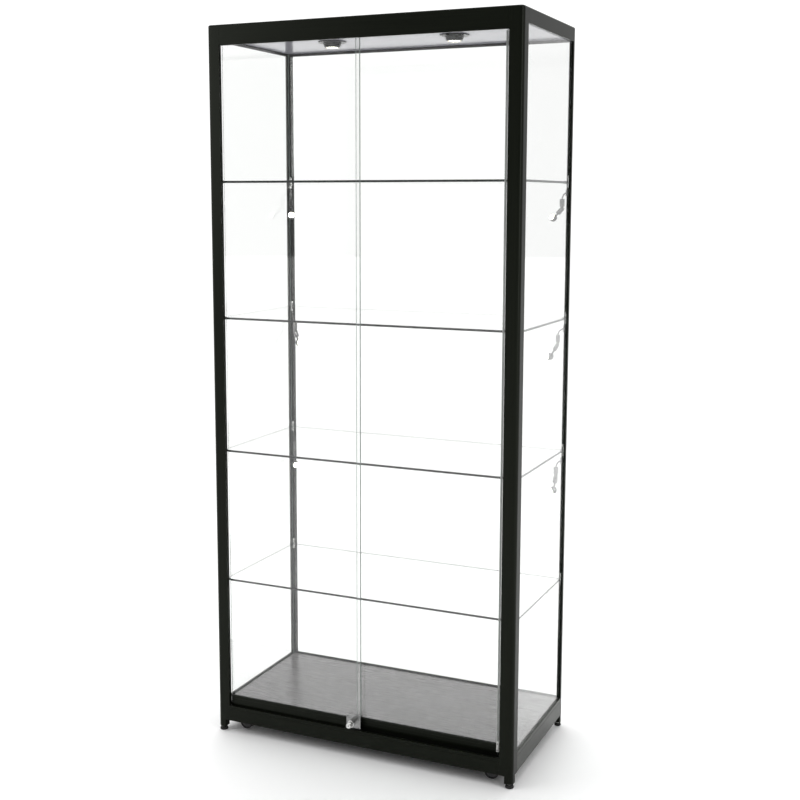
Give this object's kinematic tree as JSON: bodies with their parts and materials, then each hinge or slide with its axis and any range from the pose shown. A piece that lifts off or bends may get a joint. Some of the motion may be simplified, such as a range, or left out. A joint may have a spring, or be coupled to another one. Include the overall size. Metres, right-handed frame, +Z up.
{
  "type": "glass display cabinet",
  "caption": "Tall freestanding glass showcase: black aluminium frame, clear glass all round, glass shelves, two sliding glass doors with a push lock, lamps, levelling feet and castors.",
  "frame": {"origin": "on the ground, at the middle of the overall box (midway between the lock barrel's tip and the back of the frame)", "axes": "+X to the right seen from the front, -Y to the front where the doors are, +Z up"},
  "size_m": [0.9, 0.472, 2],
  "materials": {
    "frame": "black anodised, satin",
    "track": "black, matt",
    "glass": "clear, polished, tempered",
    "board": "grey laminate, satin",
    "ceiling": "pale grey laminate, gloss",
    "roof": "black laminate, matt",
    "chrome": "polished chrome",
    "lamp": "dark lacquer, satin",
    "lens": "lit diffuser",
    "driver": "matt",
    "rubber": "matt",
    "wheel": "matt",
    "plastic": "satin"
  },
  "bodies": {
    "cabinet": {"front_left_post": "frame", "front_right_post": "frame", "rear_left_post": "frame", "rear_right_post": "frame", "top_front_rail": "frame", "top_rear_rail": "frame", "top_left_rail": "frame", "top_right_rail": "frame", "bottom_front_rail": "frame", "bottom_rear_rail": "frame", "bottom_left_rail": "frame", "bottom_right_rail": "frame", "roof_panel": "roof", "ceiling_panel": "ceiling", "floor_panel": "board", "back_glass": "glass", "left_side_glass": "glass", "right_side_glass": "glass", "glass_shelf_1": "glass", "glass_shelf_2": "glass", "glass_shelf_3": "glass", "glass_shelf_4": "glass", "door_head_track": "track", "door_bottom_track": "track", "left_downlight_housing": "lamp", "left_downlight_lens": "lens", "right_downlight_housing": "lamp", "right_downlight_lens": "lens", "led_driver": "driver", "cable_gland": "plastic"},
    "left_door": {"left_door_glass": "glass", "left_door_shoe": "track", "lock_body": "chrome"},
    "lock_plunger": {"lock_barrel": "chrome"},
    "right_door": {"right_door_glass": "glass", "right_door_shoe": "track"},
    "front_left_foot": {"front_left_foot": "rubber"},
    "front_left_castor_fork": {"front_left_castor_fork": "plastic"},
    "front_left_castor_wheel": {"front_left_castor_wheel": "wheel"},
    "front_right_foot": {"front_right_foot": "rubber"},
    "front_right_castor_fork": {"front_right_castor_fork": "plastic"},
    "front_right_castor_wheel": {"front_right_castor_wheel": "wheel"},
    "rear_left_foot": {"rear_left_foot": "rubber"},
    "rear_left_castor_fork": {"rear_left_castor_fork": "plastic"},
    "rear_left_castor_wheel": {"rear_left_castor_wheel": "wheel"},
    "rear_right_foot": {"rear_right_foot": "rubber"},
    "rear_right_castor_fork": {"rear_right_castor_fork": "plastic"},
    "rear_right_castor_wheel": {"rear_right_castor_wheel": "wheel"},
    "left_light_1_arm": {"left_light_1_arm": "chrome"},
    "left_light_1_head": {"left_light_1_head": "chrome"},
    "right_light_1_arm": {"right_light_1_arm": "chrome"},
    "right_light_1_head": {"right_light_1_head": "chrome"},
    "left_light_2_arm": {"left_light_2_arm": "chrome"},
    "left_light_2_head": {"left_light_2_head": "chrome"},
    "right_light_2_arm": {"right_light_2_arm": "chrome"},
    "right_light_2_head": {"right_light_2_head": "chrome"},
    "left_light_3_arm": {"left_light_3_arm": "chrome"},
    "left_light_3_head": {"left_light_3_head": "chrome"},
    "right_light_3_arm": {"right_light_3_arm": "chrome"},
    "right_light_3_head": {"right_light_3_head": "chrome"}
  },
  "joints": [
    {"name": "left_door_slide", "type": "slide", "parent": "cabinet", "child": "left_door", "axis": [1, 0, 0], "range_m": [0, 0.405]},
    {"name": "right_door_slide", "type": "slide", "parent": "cabinet", "child": "right_door", "axis": [-1, 0, 0], "range_m": [-0.011, 0.397]},
    {"name": "lock_push", "type": "slide", "parent": "left_door", "child": "lock_plunger", "axis": [0, 1, 0], "range_m": [0, 0.008]},
    {"name": "front_left_foot_turn", "type": "hinge", "parent": "cabinet", "child": "front_left_foot", "pos_m": [-0.4385, -0.2025, 0.01], "axis": [0, 0, 1], "continuous": true},
    {"name": "front_left_castor_swivel", "type": "hinge", "parent": "cabinet", "child": "front_left_castor_fork", "pos_m": [-0.365, -0.172, 0.065], "axis": [0, 0, 1], "continuous": true},
    {"name": "front_left_castor_roll", "type": "hinge", "parent": "front_left_castor_fork", "child": "front_left_castor_wheel", "pos_m": [-0.379, -0.172, 0.0215], "axis": [0, 1, 0], "continuous": true},
    {"name": "front_right_foot_turn", "type": "hinge", "parent": "cabinet", "child": "front_right_foot", "pos_m": [0.4385, -0.2025, 0.01], "axis": [0, 0, 1], "continuous": true},
    {"name": "front_right_castor_swivel", "type": "hinge", "parent": "cabinet", "child": "front_right_castor_fork", "pos_m": [0.365, -0.172, 0.065], "axis": [0, 0, 1], "continuous": true},
    {"name": "front_right_castor_roll", "type": "hinge", "parent": "front_right_castor_fork", "child": "front_right_castor_wheel", "pos_m": [0.379, -0.172, 0.0215], "axis": [0, 1, 0], "continuous": true},
    {"name": "rear_left_foot_turn", "type": "hinge", "parent": "cabinet", "child": "rear_left_foot", "pos_m": [-0.44025, 0.22625, 0.01], "axis": [0, 0, 1], "continuous": true},
    {"name": "rear_left_castor_swivel", "type": "hinge", "parent": "cabinet", "child": "rear_left_castor_fork", "pos_m": [-0.365, 0.1805, 0.065], "axis": [0, 0, 1], "continuous": true},
    {"name": "rear_left_castor_roll", "type": "hinge", "parent": "rear_left_castor_fork", "child": "rear_left_castor_wheel", "pos_m": [-0.379, 0.1805, 0.0215], "axis": [0, 1, 0], "continuous": true},
    {"name": "rear_right_foot_turn", "type": "hinge", "parent": "cabinet", "child": "rear_right_foot", "pos_m": [0.44025, 0.22625, 0.01], "axis": [0, 0, 1], "continuous": true},
    {"name": "rear_right_castor_swivel", "type": "hinge", "parent": "cabinet", "child": "rear_right_castor_fork", "pos_m": [0.365, 0.1805, 0.065], "axis": [0, 0, 1], "continuous": true},
    {"name": "rear_right_castor_roll", "type": "hinge", "parent": "rear_right_castor_fork", "child": "rear_right_castor_wheel", "pos_m": [0.379, 0.1805, 0.0215], "axis": [0, 1, 0], "continuous": true},
    {"name": "left_light_1_swivel", "type": "hinge", "parent": "cabinet", "child": "left_light_1_arm", "pos_m": [-0.4345, 0.2205, 0.7948], "axis": [0, 0, 1], "range_deg": [-20, 20]},
    {"name": "left_light_1_tilt", "type": "hinge", "parent": "left_light_1_arm", "child": "left_light_1_head", "pos_m": [-0.42177, 0.20777, 0.7508], "axis": [-0.7071, -0.7071, 0], "range_deg": [-8, 67]},
    {"name": "right_light_1_swivel", "type": "hinge", "parent": "cabinet", "child": "right_light_1_arm", "pos_m": [0.4345, 0.2205, 0.7948], "axis": [0, 0, 1], "range_deg": [-20, 20]},
    {"name": "right_light_1_tilt", "type": "hinge", "parent": "right_light_1_arm", "child": "right_light_1_head", "pos_m": [0.42177, 0.20777, 0.7508], "axis": [-0.7071, 0.7071, 0], "range_deg": [-8, 67]},
    {"name": "left_light_2_swivel", "type": "hinge", "parent": "cabinet", "child": "left_light_2_arm", "pos_m": [-0.4345, 0.2205, 1.1736], "axis": [0, 0, 1], "range_deg": [-35, 5]},
    {"name": "left_light_2_tilt", "type": "hinge", "parent": "left_light_2_arm", "child": "left_light_2_head", "pos_m": [-0.41891, 0.2115, 1.1296], "axis": [-0.5, -0.866, 0], "range_deg": [-30, 45]},
    {"name": "right_light_2_swivel", "type": "hinge", "parent": "cabinet", "child": "right_light_2_arm", "pos_m": [0.4345, 0.2205, 1.1736], "axis": [0, 0, 1], "range_deg": [-5, 35]},
    {"name": "right_light_2_tilt", "type": "hinge", "parent": "right_light_2_arm", "child": "right_light_2_head", "pos_m": [0.41891, 0.2115, 1.1296], "axis": [-0.5, 0.866, 0], "range_deg": [-30, 45]},
    {"name": "left_light_3_swivel", "type": "hinge", "parent": "cabinet", "child": "left_light_3_arm", "pos_m": [-0.4345, 0.2205, 1.5524], "axis": [0, 0, 1], "range_deg": [-5, 35]},
    {"name": "left_light_3_tilt", "type": "hinge", "parent": "left_light_3_arm", "child": "left_light_3_head", "pos_m": [-0.4255, 0.20491, 1.5084], "axis": [-0.866, -0.5, 0], "range_deg": [-50, 25]},
    {"name": "right_light_3_swivel", "type": "hinge", "parent": "cabinet", "child": "right_light_3_arm", "pos_m": [0.4345, 0.2205, 1.5524], "axis": [0, 0, 1], "range_deg": [-35, 5]},
    {"name": "right_light_3_tilt", "type": "hinge", "parent": "right_light_3_arm", "child": "right_light_3_head", "pos_m": [0.4255, 0.20491, 1.5084], "axis": [-0.866, 0.5, 0], "range_deg": [-50, 25]}
  ]
}
